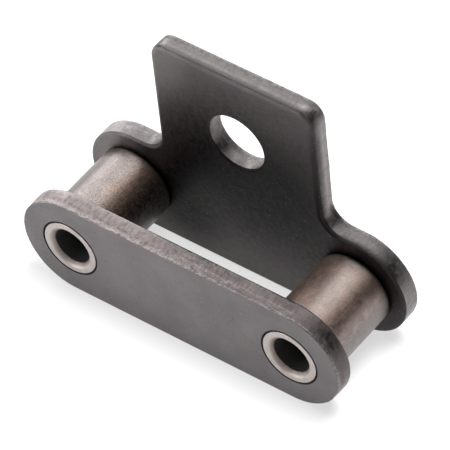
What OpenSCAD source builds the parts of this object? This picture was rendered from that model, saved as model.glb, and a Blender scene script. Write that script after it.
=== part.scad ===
// Roller link of a double-pitch conveyor chain, with a straight mounting tab on one plate.
// X runs along the chain, Y along the pins, Z up. The origin is on the ground plane, midway
// between the two bushings and midway between the two plates.

/* [Chain] */
// Distance between the two bushing axes
pitch = 38.1; // [34:0.1:50]
// Clear width between the two plates
inner_width = 12.7; // [9:0.1:20]

/* [Plates] */
// Height of the straight-sided plates
plate_height = 16.6; // [15:0.1:20]
// Thickness of both plates
plate_thickness = 3.1; // [2.5:0.1:4]
// Radius of the rolled edge round the base of each inner face
base_roll = 0.4; // [0.2:0.05:0.9]
// Radius of the tumbled edge on each outer face
outer_edge = 0.15; // [0.05:0.05:0.3]

/* [Mounting tab] */
// Width of the tab
tab_width = 27.7; // [20:0.1:29]
// Height of the tab's top edge above the bushing axes
tab_rise = 30.2; // [27:0.1:36]
// Radius of the two top corners
tab_corner = 2.5; // [2:0.1:5]
// Radius of the two inside corners where the tab leaves the base
neck_radius = 3.3; // [2:0.1:4]
// Radius of the rolled edge round the tab's inner face
tab_roll = 0.7; // [0.3:0.05:1.2]
// Diameter of the mounting hole
hole_diameter = 9.4; // [5:0.1:12]
// Height of the hole's centre above the bushing axes
hole_rise = 17.9; // [16:0.1:20]
// Radius of the rolled mouth of the hole on the inner face
hole_roll = 0.3; // [0.2:0.05:1]
// Depth of the torn zone at the hole's outer end
torn_depth = 0.7; // [0.4:0.1:1.2]
// Step from the hole's straight land out to its torn zone
torn_step = 0.08; // [0.04:0.01:0.15]
// How much wider the torn zone gets on each side, beyond the step
torn_flare = 0.1; // [0.05:0.01:0.2]

/* [Bushings] */
// Outside diameter of a bushing, pressed into both plates
bushing_diameter = 9; // [8:0.1:9.2]
// Bore of a bushing, which the connecting pin turns in
bore_diameter = 6; // [5:0.05:6.5]
// How far each bushing end stands proud of its plate
bushing_proud = 0.05; // [0.02:0.01:0.2]
// Chamfer on the outside of each bushing end
bushing_chamfer = 0.2; // [0.1:0.05:0.4]
// Chamfer at each bore mouth
bore_chamfer = 0.25; // [0.1:0.05:0.4]
// Chamfer of the plate round each bushing end
seat_chamfer = 0.2; // [0.05:0.01:0.3]

/* [Rollers] */
// Outside diameter of a roller
roller_diameter = 11.91; // [11:0.01:14]
// Radial play between a roller and its bushing
roller_play = 0.08; // [0.02:0.01:0.1]
// Side play between each end of a roller and its plate
roller_side_play = 0.15; // [0.1:0.05:0.4]
// Radius of the rounded ends of a roller
roller_edge = 0.45; // [0.2:0.05:0.8]
// Chamfer at each end of a roller's bore
roller_bore_chamfer = 0.3; // [0.1:0.05:0.4]

/* [Hidden] */
$fn = 96;
// Steps in each rolled or rounded edge
edge_steps = 6;
// Steps round each inside corner of the tab
neck_steps = 15;
// How far a cutter runs past the face it opens
past = 1;
axis_z = plate_height / 2;
bushing_length = inner_width + 2 * (plate_thickness + bushing_proud);
roller_length = inner_width - 2 * roller_side_play;
roller_bore = bushing_diameter / 2 + roller_play;
neck_x = tab_width / 2 + neck_radius;
neck_y = plate_height / 2 + neck_radius;
link_ends = [-pitch / 2, pitch / 2];

// Points on an arc round (cx, cy), from angle a0 to angle a1
function arc(cx, cy, r, a0, a1, steps = edge_steps) = [
    for (i = [0:steps])
        let (a = a0 + (a1 - a0) * i / steps)
        [cx + r * cos(a), cy + r * sin(a)]
];

// Edge of a blanked plate that reaches u = reach: rolled at the inner face (v = 0),
// tumbled at the outer face (v = plate_thickness)
function blanked_edge(reach, roll) = concat(
    arc(reach - roll, roll, roll, -90, 0),
    arc(reach - outer_edge, plate_thickness - outer_edge, outer_edge, 0, 90)
);

// Section of a bar with a blanked edge on both sides
function bar_section(half_width, roll) =
    let (edge = blanked_edge(half_width, roll))
    concat(edge, [for (i = [len(edge) - 1:-1:0]) [-edge[i][0], edge[i][1]]]);

// Section of half a plate, from the centre line to a blanked edge
function half_section(reach, roll) = concat(
    [[0, 0]],
    blanked_edge(reach, roll),
    [[0, plate_thickness]]
);

// Plates are drawn flat: outline in X and Y, inner face at Z = 0, outer face at
// Z = plate_thickness, with the bushing axes at Y = 0

// Straight-sided base with full-round ends
module base_blank() {
    translate([-pitch / 2, 0, 0])
        rotate([90, 0, 90])
            linear_extrude(height = pitch)
                polygon(bar_section(plate_height / 2, base_roll));
    for (side = [-1, 1])
        translate([side * pitch / 2, 0, 0])
            rotate([0, 0, side > 0 ? -90 : 90])
                rotate_extrude(angle = 180)
                    polygon(half_section(plate_height / 2, base_roll));
}

// Straight part of the tab, from the middle of the base up to its top corners
module tab_shaft() {
    rotate([90, 0, 180])
        linear_extrude(height = tab_rise - tab_corner)
            polygon(bar_section(tab_width / 2, tab_roll));
}

// Top edge of the tab, with its two rounded corners
module tab_top() {
    straight = tab_width / 2 - tab_corner;
    corner_y = tab_rise - tab_corner;
    translate([-straight, 0, 0])
        rotate([90, 0, 90])
            linear_extrude(height = 2 * straight)
                translate([corner_y, 0])
                    polygon(half_section(tab_corner, tab_roll));
    for (side = [-1, 1])
        translate([side * straight, corner_y, 0])
            rotate([0, 0, side > 0 ? 0 : 90])
                rotate_extrude(angle = 90)
                    polygon(half_section(tab_corner, tab_roll));
}

// Outer side of the inside-corner cutter's section: the wall of the corner between the
// rolled edge of the inner face and the tumbled edge of the outer face
function neck_profile(roll) = concat(
    [[neck_radius + roll, -past]],
    arc(neck_radius + roll, roll, roll, -90, -180),
    arc(neck_radius + outer_edge, plate_thickness - outer_edge, outer_edge, 180, 90),
    [[neck_radius + outer_edge, plate_thickness + past]]
);

// Sweeps that section round the inside corner, while the roll grows from the base's
// radius to the tab's. Each point of the profile has a partner on the cutter's inner side.
module neck_cutter() {
    // Degrees that the sweep runs past both ends of the corner
    overrun = 4;
    sweep = 90 + 2 * overrun;
    angles = [for (i = [0:neck_steps]) 270 + overrun - sweep * i / neck_steps];
    levels = len(neck_profile(base_roll));
    ring = 2 * levels;
    points = [
        for (angle = angles)
            let (share = max(0, min(1, (270 - angle) / 90)))
            let (roll = base_roll + (tab_roll - base_roll) * share)
            for (p = neck_profile(roll))
                for (reach = [neck_radius - past, p[0]])
                    [neck_x + reach * cos(angle), neck_y + reach * sin(angle), p[1]]
    ];
    walls = [
        for (i = [0:neck_steps - 1], j = [0:levels - 2])
            let (near = i * ring + 2 * j)
            let (far = near + ring)
            each [
                [near, near + 2, far + 2, far],
                [near + 1, far + 1, far + 3, near + 3]
            ]
    ];
    lids = [
        for (i = [0:neck_steps - 1])
            let (near = i * ring)
            let (far = near + ring)
            let (top = ring - 2)
            each [
                [near, far, far + 1, near + 1],
                [near + top, near + top + 1, far + top + 1, far + top]
            ]
    ];
    ends = [
        for (j = [0:levels - 2])
            let (first = 2 * j)
            let (last = neck_steps * ring + first)
            each [
                [first, first + 1, first + 3, first + 2],
                [last, last + 2, last + 3, last + 1]
            ]
    ];
    polyhedron(points = points, faces = concat(walls, lids, ends), convexity = 6);
}

// Fills the inside corner between base and tab, and rounds it
module neck() {
    root = max(tab_roll, base_roll) + past;
    difference() {
        translate([tab_width / 2 - root, plate_height / 2 - root, 0])
            cube([neck_radius + root, neck_radius + root, plate_thickness]);
        neck_cutter();
        translate([neck_x, neck_y, -past])
            cylinder(r = neck_radius - past / 2, h = plate_thickness + 2 * past);
    }
}

// Seats for the two bushings, chamfered at the outer face
module bushing_seats() {
    for (x = link_ends)
        translate([x, 0, 0]) {
            translate([0, 0, -past])
                cylinder(d = bushing_diameter, h = plate_thickness + 2 * past);
            translate([0, 0, plate_thickness - seat_chamfer])
                cylinder(
                    r1 = bushing_diameter / 2,
                    r2 = bushing_diameter / 2 + seat_chamfer + past,
                    h = seat_chamfer + past
                );
        }
}

// Pierced hole: rolled mouth, straight land, and a torn zone that steps and opens outwards
module mounting_hole() {
    land = hole_diameter / 2;
    torn = land + torn_step;
    slope = torn_flare / torn_depth;
    translate([0, hole_rise, 0])
        rotate_extrude()
            polygon(concat(
                [[0, -past], [land + hole_roll, -past]],
                arc(land + hole_roll, hole_roll, hole_roll, -90, -180),
                [[land, plate_thickness - torn_depth],
                 [torn, plate_thickness - torn_depth],
                 [torn + slope * (torn_depth + past), plate_thickness + past],
                 [0, plate_thickness + past]]
            ));
}

// Plain plate at the front of the link
module front_plate() {
    color([0.46, 0.45, 0.45])
        translate([0, -inner_width / 2, axis_z])
            rotate([90, 0, 0])
                difference() {
                    base_blank();
                    bushing_seats();
                }
}

// Plate at the back of the link, blanked in one piece with its mounting tab
module attachment_plate() {
    color([0.3, 0.29, 0.29])
        translate([0, inner_width / 2, axis_z])
            rotate([90, 0, 180])
                difference() {
                    union() {
                        base_blank();
                        tab_shaft();
                        tab_top();
                        neck();
                        mirror([1, 0, 0]) neck();
                    }
                    bushing_seats();
                    mounting_hole();
                }
}

// Turned tube, pressed into both plates
module bushing(x) {
    outer = bushing_diameter / 2;
    inner = bore_diameter / 2;
    color([0.72, 0.68, 0.66])
        translate([x, bushing_length / 2, axis_z])
            rotate([90, 0, 0])
                rotate_extrude()
                    polygon([
                        [inner, bore_chamfer],
                        [inner + bore_chamfer, 0],
                        [outer - bushing_chamfer, 0],
                        [outer, bushing_chamfer],
                        [outer, bushing_length - bushing_chamfer],
                        [outer - bushing_chamfer, bushing_length],
                        [inner + bore_chamfer, bushing_length],
                        [inner, bushing_length - bore_chamfer]
                    ]);
}

// Roller, free to turn on its bushing between the plates
module roller(x) {
    outer = roller_diameter / 2;
    color([0.6, 0.53, 0.48])
        translate([x, roller_length / 2, axis_z])
            rotate([90, 0, 0])
                rotate_extrude()
                    polygon(concat(
                        [[roller_bore, roller_bore_chamfer],
                         [roller_bore + roller_bore_chamfer, 0]],
                        arc(outer - roller_edge, roller_edge, roller_edge, -90, 0),
                        arc(outer - roller_edge, roller_length - roller_edge, roller_edge, 0, 90),
                        [[roller_bore + roller_bore_chamfer, roller_length],
                         [roller_bore, roller_length - roller_bore_chamfer]]
                    ));
}

front_plate();
attachment_plate();
bushing(-pitch / 2);  // bushing_left
bushing(pitch / 2);  // bushing_right
roller(-pitch / 2);  // roller_left
roller(pitch / 2);  // roller_right
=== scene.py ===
import math

import bpy
import numpy as np
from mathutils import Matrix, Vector


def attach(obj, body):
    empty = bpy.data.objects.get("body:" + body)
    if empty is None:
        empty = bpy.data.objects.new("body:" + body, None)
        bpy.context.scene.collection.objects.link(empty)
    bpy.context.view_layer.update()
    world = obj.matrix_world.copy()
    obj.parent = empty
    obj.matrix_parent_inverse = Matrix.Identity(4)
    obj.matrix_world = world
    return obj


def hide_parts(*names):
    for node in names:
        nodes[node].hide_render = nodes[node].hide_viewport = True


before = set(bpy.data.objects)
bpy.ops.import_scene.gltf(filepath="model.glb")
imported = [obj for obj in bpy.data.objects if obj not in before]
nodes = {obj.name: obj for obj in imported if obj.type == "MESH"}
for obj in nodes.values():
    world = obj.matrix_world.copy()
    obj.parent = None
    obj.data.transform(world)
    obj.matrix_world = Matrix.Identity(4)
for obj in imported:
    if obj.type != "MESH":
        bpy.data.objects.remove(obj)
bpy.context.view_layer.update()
bpy.ops.object.select_all(action="DESELECT")

# Studio
# The link stands on a white, faintly glowing table under seven round softboxes, two of them
# low on its left side. An eighth, steep one lights only the table. Beyond the link's right
# end the studio is dark, which gives the dark bands on the round steel.
MM = 0.001
CAMERA_PLACE = (0.319209, -0.361405, 0.525743)
CAMERA_TURN = (43.17668, 4.49796, 36.50515)
CAMERA_LENS = 405.124
TABLE_SIZE = 6
TABLE_GREY = (0.17, 0.17, 0.17, 1)
TABLE_GLOW = 0.625
WHITE = (1, 1, 1, 1)
# A hair below the plates, so that their flat lower edges do not flicker through the table
TABLE_HEIGHT = -0.02 * MM

view = bpy.context.scene.view_settings
view.view_transform = "Standard"
view.look = "None"

bpy.ops.object.camera_add(
    location=CAMERA_PLACE,
    rotation=[math.radians(angle) for angle in CAMERA_TURN],
)
camera = bpy.context.object
camera.name = "camera"
camera.data.lens = CAMERA_LENS
camera.data.sensor_width = 36
camera.data.clip_start = 0.01
camera.data.clip_end = 20
bpy.context.scene.camera = camera

bpy.ops.mesh.primitive_plane_add(size=TABLE_SIZE, location=(0, 0, TABLE_HEIGHT))
table = bpy.context.object
table.name = "table_top"
table_white = bpy.data.materials.new("table_white")
table_white.use_nodes = True
shader = table_white.node_tree.nodes["Principled BSDF"]
shader.inputs["Base Color"].default_value = TABLE_GREY
shader.inputs["Roughness"].default_value = 0.7
shader.inputs["Emission Color"].default_value = WHITE
shader.inputs["Emission Strength"].default_value = TABLE_GLOW
table.data.materials.append(table_white)

# The walls are seen as plain white, and give no light
studio = bpy.data.worlds.new("studio")
bpy.context.scene.world = studio
studio.use_nodes = True
tree = studio.node_tree
seen = tree.nodes.new("ShaderNodeLightPath")
walls = tree.nodes["Background"]
walls.inputs["Color"].default_value = WHITE
tree.links.new(seen.outputs["Is Camera Ray"], walls.inputs["Strength"])

SOFTBOX_DISTANCE = 0.9
# Direction from +Y towards +X, height above the table, diameter and brightness of each
SOFTBOXES = (
    ("softbox_left_front", 225, 20, 0.62, 4.5),
    ("softbox_left_back", 315, 20, 0.62, 5.0),
    ("softbox_left", 270, 45, 0.62, 1.65),
    ("softbox_overhead", 300, 68, 0.62, 3.0),
    ("softbox_back", 0, 45, 0.62, 2.6),
    ("softbox_front", 135, 45, 0.62, 1.4),
    ("softbox_right", 60, 68, 0.62, 1.6),
    ("softbox_on_table", 42, 75, 0.5, 38),
)
for name, direction, height, diameter, brightness in SOFTBOXES:
    turned = math.radians(direction)
    raised = math.radians(height)
    place = Vector((
        math.sin(turned) * math.cos(raised),
        math.cos(turned) * math.cos(raised),
        math.sin(raised),
    ))
    bpy.ops.object.light_add(
        type="AREA",
        location=place * SOFTBOX_DISTANCE,
        rotation=(-place).to_track_quat("-Z", "Y").to_euler(),
    )
    softbox = bpy.context.object
    softbox.name = name
    softbox.data.shape = "DISK"
    softbox.data.size = diameter
    softbox.data.energy = brightness * (math.pi * diameter / 2) ** 2
    if name == "softbox_on_table":
        table_only = bpy.data.collections.new("table_only")
        table_only.objects.link(table)
        softbox.light_linking.receiver_collection = table_only

# Front plate
# Plain side plate, blanked from 3.1 mm strip and heat-treated dark. The press rolls the edge
# of its inner face over, shears the cut edge smooth for a while and tears the rest, so the
# outer face ends in a rough, chipped edge. Both bushings are pressed into its two seats.
PITCH = 38.1 * MM
AXIS_HEIGHT = 8.3 * MM
PLATE_HALF_HEIGHT = 8.3 * MM
PLATE_THICKNESS = 3.1 * MM
INNER_FACE = 6.35 * MM
BASE_ROLL = 0.4 * MM
OUTER_EDGE = 0.15 * MM
SECTION_DEPTH = 1.5 * MM
SHEARED_FROM = 1.05 * MM
TORN_DEPTH = 1.15 * MM
SEAT_RADIUS = 4.5 * MM
SEAT_CHAMFER = 0.3 * MM
SEAT_INNER_EDGE = 0.05 * MM
SEAT_LAND = 0.7 * MM
# How hard the edge is torn, and how much less at the round ends and close to the seats
FRONT_TEAR = 1.0
TEAR_AT_ROUND_ENDS = 0.4
TEAR_GROWS_OVER = 0.25 * MM
CALM_ROUND_SEATS = 0.1 * MM
# How finely the edge is drawn along the outline and across its section
STATION = 0.21 * MM
ROLL_SEGMENTS = 6
EDGE_SEGMENTS = 3
OUTLINE_CUTS = 11
SEAT_CUTS = 2
FACE_SUPPORT = 0.2
PLATE_SMOOTHING = math.radians(50)
SAME = 0.002 * MM
# A face lies flat, or belongs to the cut edge, by how far its normal points along the pins
FLAT_NORMAL = 0.95
CUT_NORMAL = 0.72
FRONT_MILL_REACH = 0.15 * MM
# Near black of the seat grooves, painted shade in the crevice round each bushing
PAINTED_GROOVE_SHADE = (0.02, 0.017, 0.015)
DRAG_TINT = (0.55, 0.47, 0.44)
MICROMETRE = 0.001 * MM


def near(values, target):
    return abs(values - target) < SAME


def pick(piece, test):
    """Selects the vertices whose coordinates pass the test, and the edges between them."""
    bpy.ops.object.mode_set(mode="OBJECT")
    mesh = piece.data
    places = np.empty(3 * len(mesh.vertices))
    mesh.vertices.foreach_get("co", places)
    chosen = test(*places.reshape(-1, 3).T)
    ends = np.empty(2 * len(mesh.edges), dtype=int)
    mesh.edges.foreach_get("vertices", ends)
    mesh.vertices.foreach_set("select", chosen)
    mesh.edges.foreach_set("select", chosen[ends.reshape(-1, 2)].all(axis=1))
    mesh.polygons.foreach_set("select", np.zeros(len(mesh.polygons), dtype=bool))
    bpy.ops.object.mode_set(mode="EDIT")


def strip_section(name, x, y_inner, y_outer, z_edge, z_back, rolls, cuts, flare=0.0):
    """Draws the section of a blanked edge as an open line, in the plane at x.

    The edge lies at z_edge and the metal goes on towards z_back. The corner at the inner
    face is rolled by rolls[0], the one at the outer face is rounded by rolls[1]. The torn
    part between them has as many points as cuts, and leans outwards by the flare."""
    side = 1 if y_outer > y_inner else -1
    inwards = 1 if z_back > z_edge else -1
    bpy.ops.mesh.primitive_plane_add(
        size=1,
        location=(x, (y_inner + y_outer) / 2, (z_edge + z_back) / 2),
        rotation=(0, math.radians(90), 0),
    )
    piece = bpy.context.object
    piece.name = name
    piece.scale = (abs(z_back - z_edge), abs(y_outer - y_inner), 1)
    bpy.ops.object.transform_apply(location=True, rotation=True, scale=True)
    bpy.ops.object.mode_set(mode="EDIT")
    if flare:
        bpy.ops.mesh.select_all(action="SELECT")
        bpy.ops.mesh.bisect(plane_co=(0, y_outer - side * TORN_DEPTH, 0), plane_no=(0, 1, 0))
        pick(piece, lambda x, y, z: near(y, y_outer) & near(z, z_edge))
        bpy.ops.transform.translate(value=(0, 0, inwards * flare))
    pick(piece, lambda x, y, z: near(y, y_outer) & (abs(z - z_edge) < flare + SAME))
    # A seat has a plain chamfer there, a blanked edge a small rounding
    segments = EDGE_SEGMENTS if rolls[0] > SEAT_INNER_EDGE else 1
    bpy.ops.mesh.bevel(offset=rolls[1], segments=segments, affect="VERTICES")
    pick(piece, lambda x, y, z: near(y, y_inner) & near(z, z_edge))
    bpy.ops.mesh.bevel(offset=rolls[0], segments=ROLL_SEGMENTS, affect="VERTICES")
    bpy.ops.mesh.select_all(action="SELECT")
    land = y_inner + side * SHEARED_FROM
    bpy.ops.mesh.bisect(plane_co=(0, land, 0), plane_no=(0, 1, 0))
    pick(piece, lambda x, y, z: near(z, z_back) & ~near(y, y_inner) & ~near(y, y_outer))
    bpy.ops.mesh.delete(type="VERT")
    # Close stations across the torn part
    pick(
        piece,
        lambda x, y, z: (abs(z - z_edge) < flare + SAME)
        & (side * (y - land) > -SAME)
        & (side * (y_outer - y) > rolls[1] - SAME),
    )
    bpy.ops.mesh.subdivide(number_cuts=cuts)
    # A point on each face close to its rounded corner keeps the face flat to look at
    for face, roll in ((y_inner, rolls[0]), (y_outer, rolls[1])):
        corner = z_edge + inwards * (roll + (flare if face == y_outer else 0))
        pick(piece, lambda x, y, z: near(y, face))
        bpy.ops.mesh.subdivide(number_cuts=1)
        pick(piece, lambda x, y, z: near(y, face) & near(z, (z_back + corner) / 2))
        support = corner + inwards * FACE_SUPPORT * roll
        bpy.ops.transform.translate(value=(0, 0, support - (z_back + corner) / 2))
    bpy.ops.mesh.select_all(action="SELECT")
    return piece


def along(distance, direction):
    """Extrudes the section along a straight side, in an even number of stations."""
    steps = 2 * max(1, round(distance / STATION / 2))
    offset = Vector(direction) * (distance / steps)
    bpy.ops.mesh.extrude_repeat(steps=steps, offset=offset)


def around(x, z, radius, degrees):
    """Spins the section round an axis along Y, in stations divisible by four."""
    steps = 4 * max(2, round(abs(math.radians(degrees)) * radius / STATION / 4))
    bpy.ops.mesh.spin(
        steps=steps, angle=math.radians(degrees), center=(x, 0, z), axis=(0, 1, 0)
    )


def bore(name, x, z, y_inner, y_outer, radius, land, rolls, cuts, flare=0.0):
    """Sweeps the edge of a round opening, with a flat ring as wide as land on each face."""
    edge = z - radius
    piece = strip_section(name, x, y_inner, y_outer, edge, edge - land, rolls, cuts, flare)
    around(x, z, radius, 360)
    bpy.ops.object.mode_set(mode="OBJECT")
    return piece


def join_strips(piece, strips):
    """Joins the swept strips of edge to the piece and merges them where they meet."""
    bpy.ops.object.select_all(action="DESELECT")
    for part in (*strips, piece):
        part.select_set(True)
    bpy.context.view_layer.objects.active = piece
    bpy.ops.object.join()
    bpy.ops.object.mode_set(mode="EDIT")
    bpy.ops.mesh.select_all(action="SELECT")
    bpy.ops.mesh.remove_doubles(threshold=SAME)


def close_faces(piece, levels, spokes, panels):
    """Joins the openings to the outline by straight spokes, then fills the panels between."""
    for level in levels:
        for start, end in spokes:
            pick(
                piece,
                lambda x, y, z: near(y, level)
                & ((near(x, start[0]) & near(z, start[1])) | (near(x, end[0]) & near(z, end[1]))),
            )
            bpy.ops.mesh.edge_face_add()
            bpy.ops.mesh.subdivide(number_cuts=1)
        for panel in panels:
            bpy.ops.mesh.select_all(action="DESELECT")
            bpy.ops.mesh.select_non_manifold(extend=False)
            bpy.ops.object.mode_set(mode="OBJECT")
            rim = np.empty(len(piece.data.vertices), dtype=bool)
            piece.data.vertices.foreach_get("select", rim)
            pick(piece, lambda x, y, z: rim & near(y, level) & panel(x, z))
            bpy.ops.mesh.edge_face_add()
    bpy.ops.mesh.select_all(action="SELECT")
    bpy.ops.mesh.normals_make_consistent(inside=False)
    bpy.ops.object.mode_set(mode="OBJECT")


def tear_edge(piece, y_inner, y_outer, force):
    """Roughens the torn part of the cut edges: broad hollows first, then a fine grain."""
    side = 1 if y_outer > y_inner else -1
    calm = SEAT_RADIUS + SEAT_CHAMFER + CALM_ROUND_SEATS
    torn = piece.vertex_groups.new(name="torn_steel")
    for vertex in piece.data.vertices:
        x, y, z = vertex.co
        depth = side * (y - y_inner)
        into_tear = depth - (PLATE_THICKNESS - TORN_DEPTH)
        share = min(1.0, max(0.0, into_tear / TEAR_GROWS_OVER))
        if depth > PLATE_THICKNESS - SAME and abs(vertex.normal.y) > FLAT_NORMAL:
            share = 0.0
        if math.hypot(abs(x) - PITCH / 2, z - AXIS_HEIGHT) < calm:
            share = 0.0
        if abs(x) > PITCH / 2:
            share *= TEAR_AT_ROUND_ENDS
        if share > 0:
            torn.add([vertex.index], share, "REPLACE")
    # The size of its lumps, its depth, and the shade of the texture that moves nothing
    for name, scale, strength, level in (
        ("torn_hollows", 1.1 * MM, 0.26 * MM, 0.8),
        ("torn_grain", 0.25 * MM, 0.1 * MM, 0.75),
    ):
        texture = bpy.data.textures.new(name, "CLOUDS")
        texture.noise_scale = scale
        texture.noise_depth = 1
        modifier = piece.modifiers.new(name, "DISPLACE")
        modifier.texture = texture
        modifier.texture_coords = "LOCAL"
        modifier.vertex_group = torn.name
        modifier.strength = strength * force
        modifier.mid_level = level
        bpy.context.view_layer.objects.active = piece
        bpy.ops.object.modifier_apply(modifier=name)
    bpy.ops.object.select_all(action="DESELECT")
    piece.select_set(True)
    bpy.ops.object.shade_smooth_by_angle(angle=PLATE_SMOOTHING)


def node(tree, kind, settings, *inputs):
    """Adds a node with its settings; each input is a value, a socket or None."""
    made = tree.nodes.new(kind)
    for name, value in settings.items():
        setattr(made, name, value)
    for slot, value in enumerate(inputs):
        if isinstance(value, bpy.types.NodeSocket):
            tree.links.new(value, made.inputs[slot])
        elif value is not None:
            made.inputs[slot].default_value = value
    return made


def maths(tree, operation, *inputs):
    return node(tree, "ShaderNodeMath", {"operation": operation}, *inputs).outputs[0]


def vector_maths(tree, operation, *inputs):
    return node(tree, "ShaderNodeVectorMath", {"operation": operation}, *inputs).outputs[0]


def length_of(tree, vector):
    return node(tree, "ShaderNodeVectorMath", {"operation": "LENGTH"}, vector).outputs[1]


def times(tree, *factors):
    product = factors[0]
    for factor in factors[1:]:
        product = maths(tree, "MULTIPLY", product, factor)
    return product


def ramp(tree, value, start, end, low=0.0, high=1.0):
    """Goes smoothly from low to high while the value goes from start to end."""
    smooth = {"interpolation_type": "SMOOTHSTEP"}
    return node(tree, "ShaderNodeMapRange", smooth, value, start, end, low, high).outputs[0]


def gradient(tree, value, start, end, stops):
    """Colour along a value from start to end; each stop is a place and its colour."""
    share = node(tree, "ShaderNodeMapRange", {}, value, start, end).outputs[0]
    scale = node(tree, "ShaderNodeValToRGB", {}, share)
    elements = scale.color_ramp.elements
    for number, (place, colour) in enumerate(stops):
        position = (place - start) / (end - start)
        stop = elements[number] if number < 2 else elements.new(position)
        stop.position = position
        stop.color = (*colour, 1)
    return scale.outputs[0]


def shade(tree, colour, factor):
    return vector_maths(tree, "SCALE", colour, None, None, factor)


def blend(tree, mask, under, over):
    colours = {"data_type": "RGBA"}
    pad = (None,) * 5
    return node(tree, "ShaderNodeMix", colours, mask, *pad, under, over).outputs[2]


def tint(colour, factor):
    return [factor * part for part in colour] + [1]


def effect(name, inputs, outputs):
    """Starts a node group for an effect that several finishes share."""
    group = bpy.data.node_groups.new(name, "ShaderNodeTree")
    for label, kind in inputs:
        group.interface.new_socket(label, in_out="INPUT", socket_type="NodeSocket" + kind)
    for label in outputs:
        group.interface.new_socket(label, in_out="OUTPUT", socket_type="NodeSocketFloat")
    return group, group.nodes.new("NodeGroupInput"), group.nodes.new("NodeGroupOutput")


# Uneven shade of steel: soft patches of the given size in each direction
mottling, given, result = effect(
    "mottling", (("Place", "Vector"), ("Size", "Vector"), ("Contrast", "Float")), ("Shade", "Mask")
)
cells = vector_maths(mottling, "DIVIDE", given.outputs[0], given.outputs[1])
clouds = mottling.nodes.new("ShaderNodeTexNoise")
clouds.inputs["Scale"].default_value = 1
clouds.inputs["Detail"].default_value = 3
clouds.inputs["Roughness"].default_value = 0.6
mottling.links.new(cells, clouds.inputs["Vector"])
centred = node(mottling, "ShaderNodeMapRange", {"clamp": False}, clouds.outputs[0], 0.3, 0.7, -1, 1)
swing = times(mottling, centred.outputs[0], given.outputs[2])
mottling.links.new(maths(mottling, "ADD", swing, 1.0), result.inputs["Shade"])
mottling.links.new(ramp(mottling, clouds.outputs[0], 0.38, 0.62), result.inputs["Mask"])

# Scattered small marks: scale specks, nicks and bright rubbed points
specks, given, result = effect(
    "specks", (("Place", "Vector"), ("Size", "Float"), ("Cover", "Float")), ("Mask",)
)
density = maths(specks, "DIVIDE", 1.0, given.outputs[1])
scattered = specks.nodes.new("ShaderNodeTexVoronoi")
specks.links.new(given.outputs[0], scattered.inputs["Vector"])
specks.links.new(density, scattered.inputs["Scale"])
spot = ramp(specks, scattered.outputs["Distance"], 0.2, 0.42, 1, 0)
red = node(specks, "ShaderNodeSeparateColor", {}, scattered.outputs["Color"]).outputs[0]
present = maths(specks, "LESS_THAN", red, given.outputs[2])
specks.links.new(times(specks, spot, present), result.inputs["Mask"])

# Spot of painted light and shade: lightness that changes by a share at its centre, and by less
# and less out to its reach in each direction
painted_light_spot, given, result = effect(
    "painted_light_spot",
    (("Place", "Vector"), ("Centre", "Vector"), ("Reach", "Vector"), ("Change", "Float")),
    ("Shade",),
)
offset = vector_maths(painted_light_spot, "SUBTRACT", given.outputs[0], given.outputs[1])
from_centre = length_of(painted_light_spot, vector_maths(painted_light_spot, "DIVIDE", offset, given.outputs[2]))
at_centre = maths(painted_light_spot, "ADD", 1.0, given.outputs[3])
painted_light_spot.links.new(ramp(painted_light_spot, from_centre, 0.2, 1, at_centre, 1), result.inputs["Shade"])


def patches(tree, place, size, contrast):
    """Mottling of a size in millimetres, one number or one for each direction."""
    size = size if isinstance(size, tuple) else (size,) * 3
    group = {"node_tree": mottling}
    inputs = (place, [length * MM for length in size], contrast)
    return node(tree, "ShaderNodeGroup", group, *inputs).outputs


def marks(tree, place, size, cover):
    """Specks of a size in millimetres, on a share of the surface."""
    group = {"node_tree": specks}
    return node(tree, "ShaderNodeGroup", group, place, size * MM, cover).outputs[0]


def shades_of_painted_spots(tree, place, inner_face, painted_spots):
    """One shade for each spot of painted light and shade on a plate.

    A spot lists its place along the link, its depth behind the plate's inner face, its
    height, its reach in each direction, all in millimetres, and its change of lightness."""
    group = {"node_tree": painted_light_spot}
    shades = []
    for x, depth, z, reach, change in painted_spots:
        centre = (x * MM, inner_face + math.copysign(depth * MM, inner_face), z * MM)
        spread = [length * MM for length in reach]
        made = node(tree, "ShaderNodeGroup", group, place, centre, spread, change)
        shades.append(made.outputs[0])
    return shades


def steel(name, roughness):
    """Starts a steel finish; returns its parts and the object coordinates."""
    material = bpy.data.materials.new(name)
    material.use_nodes = True
    tree = material.node_tree
    shader = tree.nodes["Principled BSDF"]
    shader.inputs["Metallic"].default_value = 1
    shader.inputs["Roughness"].default_value = roughness
    place = tree.nodes.new("ShaderNodeTexCoord").outputs["Object"]
    return material, tree, shader, place


def axes_of(tree, place):
    return node(tree, "ShaderNodeSeparateXYZ", {}, place).outputs


def depth_from(tree, y, face):
    """Distance of a point from a plate's face, measured along the pins."""
    return maths(tree, "ABSOLUTE", maths(tree, "SUBTRACT", y, face))


def roughen(tree, shader, *layers):
    """Stacks bumps, each with its height mask and its depth in micrometres."""
    normal = None
    for height, depth in layers:
        bump = tree.nodes.new("ShaderNodeBump")
        bump.inputs["Distance"].default_value = depth * MICROMETRE
        tree.links.new(height, bump.inputs["Height"])
        if normal:
            tree.links.new(normal, bump.inputs["Normal"])
        normal = bump.outputs[0]
    tree.links.new(normal, shader.inputs["Normal"])


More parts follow.
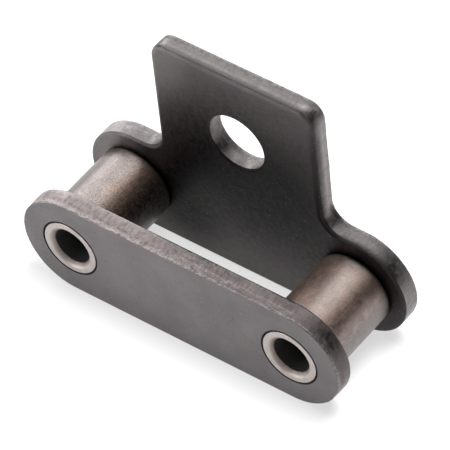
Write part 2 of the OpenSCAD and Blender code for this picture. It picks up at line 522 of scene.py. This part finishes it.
def mill_surface(name, colour, scale_tint, inner_face, rubbing_and_sheen, painted_spots):
    """Rolled surface of the strip after heat treatment: satin, mottled with thin dark scale.

    Scale_tint is the colour of the scale, and the argument after the inner face is how much
    lighter its rolled corners are made, partly as rubbed wear and partly as a painted highlight."""
    material, tree, shader, place = steel(name, 0.42)
    broad = patches(tree, place, 7.0, 0.12)
    small = patches(tree, place, 0.9, 0.07)
    grain = patches(tree, place, 0.16, 0.12)
    # Spots of painted light and shade, lighter or darker where the plate is lit or kept in shade
    painted_shading = shades_of_painted_spots(tree, place, inner_face, painted_spots)
    tinted = blend(tree, patches(tree, place, 3.5, 0.1)[1], (*colour, 1), (*scale_tint, 1))
    base = shade(tree, tinted, times(tree, broad[0], small[0], grain[0], *painted_shading))
    # Specks of dark scale, and points rubbed bright
    dark = times(tree, marks(tree, place, 0.6, 0.07), 0.3)
    base = blend(tree, dark, base, tint(colour, 0.3))
    bright = times(tree, marks(tree, place, 0.28, 0.03), 0.5)
    base = blend(tree, bright, base, tint(colour, 1.9))
    # The rolled corner, lightened unevenly by rubbed wear and a painted highlight, duller than the
    # face
    depth = depth_from(tree, axes_of(tree, place)[1], inner_face)
    rolled = times(
        tree, ramp(tree, depth, 0, 0.05 * MM), ramp(tree, depth, 0.2 * MM, 0.6 * MM, 1, 0)
    )
    uneven = ramp(tree, patches(tree, place, 1.4, 0.1)[1], 0, 1, 0.6, 1)
    base = shade(tree, base, ramp(tree, times(tree, rolled, uneven), 0, 1, 1, rubbing_and_sheen))
    tree.links.new(base, shader.inputs["Base Color"])
    dull = times(tree, rolled, 0.14)
    rough = maths(tree, "ADD", ramp(tree, small[1], 0, 1, 0.38, 0.47), dull)
    tree.links.new(rough, shader.inputs["Roughness"])
    roughen(tree, shader, (broad[1], 12), (small[1], 5), (grain[1], 3))
    return material


def cut_surface(name, colour, lightness, inner_face, blotch, pits, tear, painted_spots):
    """Sheared and torn edge: streaked across the strip, bare in places, chipped at its rim.

    Lightness lists places along the link, in millimetres from its middle, and how light the
    edge is painted there, as painted light and shade. Blotch is how blotchy it is, pits how much
    of it is pitted, and tear how much lighter or darker its torn part is."""
    material, tree, shader, place = steel(name, 0.42)
    axes = axes_of(tree, place)
    # Spots of painted light and shade on the cut edge
    painted_shading = shades_of_painted_spots(tree, place, inner_face, painted_spots)
    depth = depth_from(tree, axes[1], inner_face)
    streaks = patches(tree, place, (0.14, 1.6, 0.14), 0.16)
    blotches = patches(tree, place, 0.9, blotch)
    grain = patches(tree, place, 0.13, 0.2)
    tear_start = PLATE_THICKNESS - TORN_DEPTH
    torn = ramp(tree, depth, tear_start - 0.1 * MM, tear_start + 0.2 * MM)
    torn_shade = ramp(tree, torn, 0, 1, 1, 1 + tear)
    half_length = PITCH / 2 + PLATE_HALF_HEIGHT
    # Painted light and shade along the link
    stops = [(place_mm * MM, (value,) * 3) for place_mm, value in lightness]
    ends = gradient(tree, axes[0], -half_length, half_length, stops)
    base = shade(tree, ends, times(tree, streaks[0], blotches[0], grain[0], torn_shade, *painted_shading))
    tinted = vector_maths(tree, "MULTIPLY", base, colour)
    # Brown drag marks of the shear, across the middle of the edge
    middle = times(
        tree,
        ramp(tree, depth, 0.5 * MM, 1.1 * MM),
        ramp(tree, depth, PLATE_THICKNESS - 1.1 * MM, PLATE_THICKNESS - 0.5 * MM, 1, 0),
    )
    drag = times(tree, middle, patches(tree, place, (0.5, 1.6, 0.5), 0.1)[1], 2.2 * blotch)
    brown = [share * part for share, part in zip(DRAG_TINT, colour)]
    base = blend(tree, drag, tinted, (*brown, 1))
    # Bright chips along the outer rim, and dark pits all over
    rim = ramp(tree, depth, PLATE_THICKNESS - 0.5 * MM, PLATE_THICKNESS - 0.15 * MM)
    chips = times(tree, rim, patches(tree, place, 0.5, 0.1)[1], 0.6)
    base = blend(tree, chips, base, tint(colour, 2.1))
    dark = times(tree, marks(tree, place, 0.6, pits), 0.5)
    base = blend(tree, dark, base, tint(colour, 0.35))
    tree.links.new(base, shader.inputs["Base Color"])
    tree.links.new(ramp(tree, blotches[1], 0, 1, 0.36, 0.5), shader.inputs["Roughness"])
    torn_grain = times(tree, torn, grain[1])
    roughen(tree, shader, (streaks[1], 4), (blotches[1], 8), (torn_grain, 14))
    return material


def shaded_groove(name):
    """Narrow groove round a bushing, painted near black as shade in the crevice."""
    material, tree, shader, place = steel(name, 0.5)
    grain = patches(tree, place, 0.3, 0.3)
    tree.links.new(shade(tree, PAINTED_GROOVE_SHADE, grain[0]), shader.inputs["Base Color"])
    tree.links.new(ramp(tree, grain[1], 0, 1, 0.45, 0.65), shader.inputs["Roughness"])
    roughen(tree, shader, (grain[1], 5))
    return material


def finish_plate(piece, inner_face, mill, cut, groove, mill_reach):
    """Gives the plate its mill surface, its cut edges beyond mill_reach, and its grooves."""
    piece.data.materials.clear()
    for material in (mill, cut, groove):
        piece.data.materials.append(material)
    for face in piece.data.polygons:
        p = face.center
        depth = abs(p.y - inner_face)
        cut_edge = abs(face.normal.y) < CUT_NORMAL and mill_reach(p) < depth
        from_seat = math.hypot(abs(p.x) - PITCH / 2, p.z - AXIS_HEIGHT)
        at_seat = from_seat < SEAT_RADIUS + SEAT_CHAMFER and depth > PLATE_THICKNESS / 2
        face.material_index = 2 if at_seat else int(cut_edge)


front_inner = -INNER_FACE
front_outer = -INNER_FACE - PLATE_THICKNESS
bottom = AXIS_HEIGHT - PLATE_HALF_HEIGHT
front_plate = strip_section(
    "front_plate_blank", -PITCH / 2, front_inner, front_outer,
    bottom, bottom + SECTION_DEPTH, (BASE_ROLL, OUTER_EDGE), OUTLINE_CUTS,
)
along(PITCH, (1, 0, 0))
around(PITCH / 2, AXIS_HEIGHT, PLATE_HALF_HEIGHT, 180)
along(PITCH, (-1, 0, 0))
around(-PITCH / 2, AXIS_HEIGHT, PLATE_HALF_HEIGHT, 180)
bpy.ops.object.mode_set(mode="OBJECT")
end_inset = PITCH / 2 + PLATE_HALF_HEIGHT - SECTION_DEPTH
seat_far = PITCH / 2 + SEAT_RADIUS + SEAT_LAND
seat_near = PITCH / 2 - SEAT_RADIUS - SEAT_LAND
base_spokes = [
    ((-end_inset, AXIS_HEIGHT), (-seat_far, AXIS_HEIGHT)),
    ((-seat_near, AXIS_HEIGHT), (seat_near, AXIS_HEIGHT)),
    ((seat_far, AXIS_HEIGHT), (end_inset, AXIS_HEIGHT)),
]


def seats(y_inner, y_outer):
    return [
        bore(
            "seat", x, AXIS_HEIGHT, y_inner, y_outer, SEAT_RADIUS, SEAT_LAND,
            (SEAT_INNER_EDGE, SEAT_CHAMFER), SEAT_CUTS,
        )
        for x in (-PITCH / 2, PITCH / 2)
    ]


def lower_half(x, z):
    return z < AXIS_HEIGHT + SAME


def upper_half(x, z):
    return z > AXIS_HEIGHT - SAME


join_strips(front_plate, seats(front_inner, front_outer))
close_faces(front_plate, (front_inner, front_outer), base_spokes, (lower_half, upper_half))
tear_edge(front_plate, front_inner, front_outer, FRONT_TEAR)
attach(front_plate, "link")
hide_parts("front_plate")

# The front plate's mill surface gets one broad spot of painted shade, darker towards its lower
# right end
front_mill = mill_surface(
    "front_plate_mill_surface",
    (0.154, 0.141, 0.147),
    (0.151, 0.141, 0.143),
    front_inner,
    1.0,
    [(20, 3.1, 1, (30, 30, 30), -0.1)],
)
# The front cut edge's lightness along the link is painted light and shade: lighter at the left end,
# darker towards the right end
front_cut = cut_surface(
    "front_plate_cut_edge",
    (0.183, 0.161, 0.16),
    ((-26, 1.5), (-22.5, 1.5), (-19.5, 1.1), (12, 1.05), (19.5, 0.85), (21.5, 0.6), (27, 0.58)),
    front_inner, 0.22, 0.14, 0.12, [],
)
groove = shaded_groove("painted_shade_seat_groove")
finish_plate(front_plate, front_inner, front_mill, front_cut, groove, lambda p: FRONT_MILL_REACH)

# Attachment plate
# Side plate at the back, blanked in one piece with its mounting tab and pierced for the
# bolt. The edge of its inner face is rolled more round the tab than round the base, so the
# roll grows through the two inside corners. It is pressed on the bushings' other ends.
TAB_HALF_WIDTH = 13.85 * MM
TAB_TOP = AXIS_HEIGHT + 30.2 * MM
TAB_ROLL = 0.7 * MM
TAB_CORNER = 2.5 * MM
NECK_RADIUS = 3.3 * MM
HOLE_RADIUS = 4.7 * MM
HOLE_HEIGHT = AXIS_HEIGHT + 17.9 * MM
HOLE_ROLL = 0.3 * MM
HOLE_FLARE = 0.1 * MM
HOLE_LAND = 1.4 * MM
HOLE_CUTS = 9
NECK_STEPS = 26
NECK_SEARCH = 1.2
TAB_TEAR = 0.45
MILL_PAST_ROLL = 0.05 * MM

back_inner = INNER_FACE
back_outer = INNER_FACE + PLATE_THICKNESS
plate_top = AXIS_HEIGHT + PLATE_HALF_HEIGHT
shoulder_end = TAB_HALF_WIDTH + NECK_RADIUS
side_bottom = plate_top + NECK_RADIUS
side_top = TAB_TOP - TAB_CORNER
corner_x = TAB_HALF_WIDTH - TAB_CORNER

# The base: from the left shoulder round the bottom to the right shoulder
tab_plate = strip_section(
    "attachment_plate_blank", -shoulder_end, back_inner, back_outer,
    plate_top, plate_top - SECTION_DEPTH, (BASE_ROLL, OUTER_EDGE), OUTLINE_CUTS,
)
along(PITCH / 2 - shoulder_end, (-1, 0, 0))
around(-PITCH / 2, AXIS_HEIGHT, PLATE_HALF_HEIGHT, 180)
along(PITCH, (1, 0, 0))
around(PITCH / 2, AXIS_HEIGHT, PLATE_HALF_HEIGHT, 180)
along(PITCH / 2 - shoulder_end, (-1, 0, 0))
bpy.ops.object.mode_set(mode="OBJECT")

# The tab: from the foot of its right side over the top to the foot of its left side
tab_rim = strip_section(
    "tab_rim", corner_x, back_inner, back_outer,
    TAB_TOP, TAB_TOP - SECTION_DEPTH, (TAB_ROLL, OUTER_EDGE), OUTLINE_CUTS,
)
around(corner_x, side_top, TAB_CORNER, -90)
along(side_top - side_bottom, (0, 0, -1))
pick(tab_rim, lambda x, y, z: near(x, corner_x))
along(2 * corner_x, (-1, 0, 0))
around(-corner_x, side_top, TAB_CORNER, 90)
along(side_top - side_bottom, (0, 0, -1))
bpy.ops.object.mode_set(mode="OBJECT")

# The right inside corner, whose roll grows step by step from the base's to the tab's
right_neck = strip_section(
    "right_neck", shoulder_end, back_inner, back_outer,
    plate_top, plate_top - SECTION_DEPTH, (BASE_ROLL, OUTER_EDGE), OUTLINE_CUTS,
)
roll = BASE_ROLL
for step in range(1, NECK_STEPS + 1):
    bpy.ops.mesh.spin(
        steps=1, angle=math.radians(-90 / NECK_STEPS),
        center=(shoulder_end, 0, side_bottom), axis=(0, 1, 0),
    )
    turned = math.radians(90 * step / NECK_STEPS)
    corner = Vector((
        shoulder_end - math.sin(turned) * NECK_RADIUS,
        back_inner,
        side_bottom - math.cos(turned) * NECK_RADIUS,
    ))
    bpy.ops.object.mode_set(mode="OBJECT")
    front = np.empty(len(right_neck.data.vertices), dtype=bool)
    right_neck.data.vertices.foreach_get("select", front)
    # The rolled corner of the newest station is found a little beyond its own radius, and
    # swells from the sharp corner that it stands in for
    reach = NECK_SEARCH * roll + SAME
    pick(
        right_neck,
        lambda x, y, z: front
        & (abs(x - corner.x) < reach)
        & (abs(z - corner.z) < reach)
        & (y - corner.y < roll + SAME)
        & ((x - corner.x) ** 2 + (z - corner.z) ** 2 < reach ** 2),
    )
    grown = BASE_ROLL + (TAB_ROLL - BASE_ROLL) * step / NECK_STEPS
    bpy.ops.transform.resize(value=(grown / roll,) * 3, center_override=corner)
    roll = grown
    pick(right_neck, lambda x, y, z: front)
bpy.ops.object.mode_set(mode="OBJECT")
bpy.ops.object.select_all(action="DESELECT")
right_neck.select_set(True)
bpy.context.view_layer.objects.active = right_neck
bpy.ops.object.duplicate()
left_neck = bpy.context.object
bpy.ops.object.mode_set(mode="EDIT")
bpy.ops.mesh.select_all(action="SELECT")
bpy.ops.transform.mirror(
    constraint_axis=(True, False, False), orient_type="GLOBAL", center_override=(0, 0, 0)
)
bpy.ops.object.mode_set(mode="OBJECT")

hole = bore(
    "hole", 0, HOLE_HEIGHT, back_inner, back_outer, HOLE_RADIUS, HOLE_LAND,
    (HOLE_ROLL, OUTER_EDGE), HOLE_CUTS, HOLE_FLARE,
)
join_strips(tab_plate, [tab_rim, right_neck, left_neck, hole, *seats(back_inner, back_outer)])
close_faces(
    tab_plate,
    (back_inner, back_outer),
    base_spokes
    + [
        ((0, AXIS_HEIGHT), (0, HOLE_HEIGHT - HOLE_RADIUS - HOLE_LAND)),
        ((0, HOLE_HEIGHT + HOLE_RADIUS + HOLE_LAND), (0, TAB_TOP - SECTION_DEPTH)),
    ],
    (
        lower_half,
        lambda x, z: upper_half(x, z) & (x < SAME),
        lambda x, z: upper_half(x, z) & (x > -SAME),
    ),
)
tear_edge(tab_plate, back_inner, back_outer, TAB_TEAR)
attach(tab_plate, "link")
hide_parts("attachment_plate")

# Painted light and shade on its inner face: darker where it mirrors the dark gap and the
# rollers, lighter at the left lobe and towards the top
tab_painted_spots = (
    (2, 0, 18, (26, 2, 19), -0.84),
    (-11, 0, 7, (10, 2, 9), -0.8),
    (22, 0, 9, (15, 2, 14), -0.66),
    (-24, 0, 13, (9, 2, 10), 0.75),
    (-12.5, 0, 36, (7, 2, 11), 0.6),
    (0, 0, 38.5, (16, 2, 3), 0.2),
    (0, 0.5, 38.5, (30, 0.4, 2), -0.15),
    (-13.4, 0.3, 37.4, (1.4, 0.6, 1.5), 0.5),
    (16, 0.4, 20, (3, 2, 3.5), 0.3),
    (14.1, 0.3, 31, (1.6, 1.2, 13), -0.5),
)
# Painted light and shade on its cut edge: painted shade on the sheared land of the tab's right
# side, a painted highlight at its top right corner, and lighter or darker spots at the top, the
# corners and the lobes
tab_cut_painted_spots = (
    (13.9, 0.6, 28, (1.5, 1.6, 22), -0.8),
    (11.8, 1.4, 38.5, (1.3, 0.9, 1.3), 0.7),
    (12.7, 0.9, 38.1, (1.3, 1.2, 1.2), -0.45),
    (13.0, 2.2, 37.9, (1.0, 1.3, 1.0), 0.6),
    (0, 0.5, 38.5, (30, 0.7, 2), -0.3),
    (0, 1.3, 38.5, (30, 0.5, 2), 0.2),
    (-13.1, 1.8, 37.8, (1.3, 1.7, 1.3), -0.3),
    (-18, 2.6, 16.6, (5, 1.4, 2), 0.35),
    (13.7, 2.2, 37.0, (1.4, 2.2, 1.6), -0.35),
    (14.5, 2.7, 18.2, (1.8, 1.6, 2.4), -0.72),
    (15.7, 2.3, 17.0, (2.0, 1.8, 1.6), -0.25),
    (21, 0.3, 15, (8, 0.9, 6), -0.65),
)
# Its mill surface is darker than the front plate's: painted shade for the light that the front
# plate and the rollers keep off its inner face
tab_mill = mill_surface(
    "attachment_plate_mill_surface",
    (0.089, 0.078, 0.082),
    (0.08, 0.075, 0.071),
    back_inner,
    1.2,
    tab_painted_spots,
)
# The tab plate's cut edge is painted light and shade along the link: lighter at both lobes and on
# the tab's right side
tab_cut = cut_surface(
    "attachment_plate_cut_edge",
    (0.137, 0.126, 0.126),
    (
        (-26, 2.2), (-23.4, 2.8), (-21.3, 1.15), (-19, 1.04), (12.5, 1.0), (13.4, 1.85),
        (14.2, 1.85), (17, 0.95), (22, 1.1), (25, 0.9), (27, 1.4),
    ),
    back_inner, 0.1, 0.03, -0.1, tab_cut_painted_spots,
)


def tab_mill_reach(p):
    """The dark mill surface ends with the roll, which grows through the inside corners."""
    if math.hypot(p.x, p.z - HOLE_HEIGHT) < HOLE_RADIUS + HOLE_ROLL:
        return HOLE_ROLL
    grown = min(1.0, max(0.0, (p.z - plate_top) / NECK_RADIUS))
    return BASE_ROLL + MILL_PAST_ROLL + (TAB_ROLL - BASE_ROLL) * grown


finish_plate(tab_plate, back_inner, tab_mill, tab_cut, groove, tab_mill_reach)

# Bushings
# Two turned and hardened steel tubes, pressed into both plates with their ground ends just
# proud of the outer faces. The mouth of each bore is well rounded, so that the pin goes in.
BUSHING_RADIUS = 4.5 * MM
BORE_RADIUS = 3.0 * MM
BUSHING_HALF_LENGTH = 9.5 * MM
BUSHING_EDGE = 0.15 * MM
MOUTH_ROUND = 0.65 * MM
MOUTH_SEGMENTS = 7
MOUTH_PROFILE = 0.33
BUSHING_SMOOTHING = math.radians(20)
# Turning rings: their wave's angle, in radians, for each metre of radius
RING_WAVES = 62000.0
GROUND_STEEL = (0.43, 0.385, 0.372)
WORN_MOUTH = (0.31, 0.255, 0.23, 1)
# Painted shade: the colour of the bore's wall, and of the dark line round the ring's outer rim
PAINTED_BORE_SHADE = (0.1, 0.096, 0.094, 1)
PAINTED_RIM_SHADE = (0.3, 0.27, 0.26, 1)


def turned_bushing(name, axis_x):
    """Draws half of the tube's lengthwise section, rounds its corners and turns it."""
    bore_edge = AXIS_HEIGHT + BORE_RADIUS
    outer_edge = AXIS_HEIGHT + BUSHING_RADIUS
    bpy.ops.mesh.primitive_plane_add(
        size=1,
        location=(axis_x, 0, (bore_edge + outer_edge) / 2),
        rotation=(0, math.radians(90), 0),
    )
    piece = bpy.context.object
    piece.name = name
    piece.scale = (outer_edge - bore_edge, 2 * BUSHING_HALF_LENGTH, 1)
    bpy.ops.object.transform_apply(location=True, rotation=True, scale=True)
    bpy.ops.object.mode_set(mode="EDIT")
    pick(piece, lambda x, y, z: near(z, bore_edge))
    bpy.ops.mesh.bevel(
        offset=MOUTH_ROUND, segments=MOUTH_SEGMENTS, profile=MOUTH_PROFILE, affect="VERTICES"
    )
    pick(piece, lambda x, y, z: near(z, outer_edge))
    bpy.ops.mesh.bevel(offset=BUSHING_EDGE, segments=EDGE_SEGMENTS, affect="VERTICES")
    bpy.ops.mesh.select_all(action="SELECT")
    bpy.ops.mesh.delete(type="ONLY_FACE")
    bpy.ops.mesh.select_all(action="SELECT")
    around(axis_x, AXIS_HEIGHT, BUSHING_RADIUS, 360)
    bpy.ops.mesh.select_all(action="SELECT")
    bpy.ops.mesh.remove_doubles(threshold=SAME)
    bpy.ops.mesh.normals_make_consistent(inside=False)
    bpy.ops.object.mode_set(mode="OBJECT")
    bpy.ops.object.shade_smooth_by_angle(angle=BUSHING_SMOOTHING)
    return piece


def turned_end(name, axis_x):
    """Ground end with faint turning rings, worn brown at the bore's mouth; painted shade darkens
    the bore's wall and the ring's outer rim.
    """
    material, tree, shader, place = steel(name, 0.45)
    centred = tree.nodes.new("ShaderNodeMapping")
    centred.inputs["Location"].default_value = (-axis_x, 0, -AXIS_HEIGHT)
    tree.links.new(place, centred.inputs["Vector"])
    radius = length_of(tree, vector_maths(tree, "MULTIPLY", centred.outputs[0], (1, 0, 1)))
    rings = maths(tree, "SINE", times(tree, radius, RING_WAVES))
    cloudy = patches(tree, place, 1.2, 0.1)
    grain = patches(tree, place, 0.15, 0.1)
    base = shade(tree, GROUND_STEEL, times(tree, cloudy[0], grain[0]))
    mouth = times(
        tree,
        ramp(tree, radius, BORE_RADIUS + 0.1 * MM, BORE_RADIUS + MOUTH_ROUND, 1, 0),
        ramp(tree, cloudy[1], 0, 1, 0.75, 1),
    )
    base = blend(tree, mouth, base, WORN_MOUTH)
    # Painted shade darkens the bore's wall
    inside = ramp(tree, radius, BORE_RADIUS + 0.01 * MM, BORE_RADIUS + 0.06 * MM, 1, 0)
    base = blend(tree, inside, base, PAINTED_BORE_SHADE)
    # Painted shade: a dark line round the ring's outer rim
    rim = ramp(tree, radius, BUSHING_RADIUS - 0.12 * MM, BUSHING_RADIUS, 0, 0.35)
    base = blend(tree, rim, base, PAINTED_RIM_SHADE)
    tree.links.new(base, shader.inputs["Base Color"])
    satin = ramp(tree, grain[1], 0, 1, 0.4, 0.52)
    rough = maths(tree, "ADD", satin, times(tree, mouth, 0.25))
    tree.links.new(rough, shader.inputs["Roughness"])
    roughen(tree, shader, (rings, 0.6), (cloudy[1], 3), (grain[1], 2))
    return material


for side, axis_x in (("left", -PITCH / 2), ("right", PITCH / 2)):
    bushing = turned_bushing("turned_bushing_" + side, axis_x)
    bushing.data.materials.append(turned_end("bushing_%s_ground_steel" % side, axis_x))
    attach(bushing, "link")
    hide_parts("bushing_" + side)

# Rollers
# Two curled and hardened steel rollers that turn freely on the bushings between the plates.
# Tumbling has left them satin, and tempering has tinted them brown on one side. Their colour
# round each roller also carries painted highlights and painted shade. They keep the shape
# that the model gives them, and get their finish here.
ROLLER_HALF_LENGTH = 6.2 * MM
DARK_SPECK = (0.11, 0.08, 0.065, 1)


def tempered_steel(name, axis_x, tint_and_light_stops, roughness, coarseness, far_rim_shade):
    """Tumbled steel whose colour changes round the roller: temper tints with painted light and
    shade.

    The stops list angles from the top towards +X, in degrees, and the colour there: brown temper
    tints, paler where highlights fall and darker where the roller is in shade or mirrors dark
    surroundings. Coarseness is the size and the contrast of its grain, and the last argument the
    painted shade at the tab plate's side."""
    material, tree, shader, place = steel(name, roughness)
    axes = axes_of(tree, place)
    across = maths(tree, "SUBTRACT", axes[0], axis_x)
    up = maths(tree, "SUBTRACT", axes[2], AXIS_HEIGHT)
    angle = maths(tree, "ARCTAN2", across, up)
    cloudy = patches(tree, place, 2.6, 0.08)
    small = patches(tree, place, 0.55, 0.07)
    grain = patches(tree, place, *coarseness)
    # The bounds between the colours wander a few degrees to and fro
    wander = ramp(tree, patches(tree, place, 1.5, 0.1)[1], 0, 1, -0.09, 0.09)
    wandering = maths(tree, "ADD", angle, wander)
    # Temper tints with painted highlights and painted shade round the roller
    stops = [(math.radians(degrees), colour) for degrees, colour in tint_and_light_stops]
    base = gradient(tree, wandering, -math.pi, math.pi, stops)
    base = shade(tree, base, times(tree, cloudy[0], small[0], grain[0]))
    dark = times(tree, marks(tree, place, 0.32, 0.12), 0.35)
    base = blend(tree, dark, base, DARK_SPECK)
    # Painted shade darkens the roller towards its end at the tab plate
    rim = ramp(tree, axes[1], ROLLER_HALF_LENGTH - 0.9 * MM, ROLLER_HALF_LENGTH - 0.4 * MM, 0, 0.7)
    base = blend(tree, rim, base, (*far_rim_shade, 1))
    tree.links.new(base, shader.inputs["Base Color"])
    rough = ramp(tree, small[1], 0, 1, roughness - 0.04, roughness + 0.05)
    tree.links.new(rough, shader.inputs["Roughness"])
    roughen(tree, shader, (cloudy[1], 6), (small[1], 4), (grain[1], 3))
    return material


left_finish = tempered_steel(
    "left_roller_tempered_steel",
    -PITCH / 2,
    (
        (-180, (0.22, 0.19, 0.18)), (-20, (0.215, 0.19, 0.182)), (0, (0.245, 0.214, 0.201)),
        (12, (0.275, 0.236, 0.222)), (20, (0.275, 0.224, 0.195)), (29, (0.285, 0.208, 0.17)),
        (46, (0.27, 0.195, 0.16)), (62, (0.168, 0.145, 0.136)), (80, (0.11, 0.104, 0.101)),
        (105, (0.113, 0.107, 0.104)), (140, (0.2, 0.17, 0.16)), (180, (0.22, 0.19, 0.18)),
    ),
    0.42, (0.19, 0.4), (0.14, 0.1, 0.08),
)
right_finish = tempered_steel(
    "right_roller_tempered_steel",
    PITCH / 2,
    (
        (-180, (0.26, 0.21, 0.185)), (-31, (0.41, 0.297, 0.25)), (-16, (0.37, 0.27, 0.232)),
        (-6, (0.325, 0.24, 0.21)), (2, (0.315, 0.255, 0.232)), (12, (0.32, 0.272, 0.25)),
        (24, (0.37, 0.297, 0.262)), (36, (0.385, 0.284, 0.24)), (48, (0.285, 0.206, 0.18)),
        (60, (0.355, 0.28, 0.256)), (75, (0.25, 0.214, 0.2)), (95, (0.2, 0.19, 0.185)),
        (180, (0.26, 0.21, 0.185)),
    ),
    0.46, (0.16, 0.24), (0.1, 0.1, 0.09),
)
for name, finish in (("roller_left", left_finish), ("roller_right", right_finish)):
    nodes[name].data.materials.clear()
    nodes[name].data.materials.append(finish)
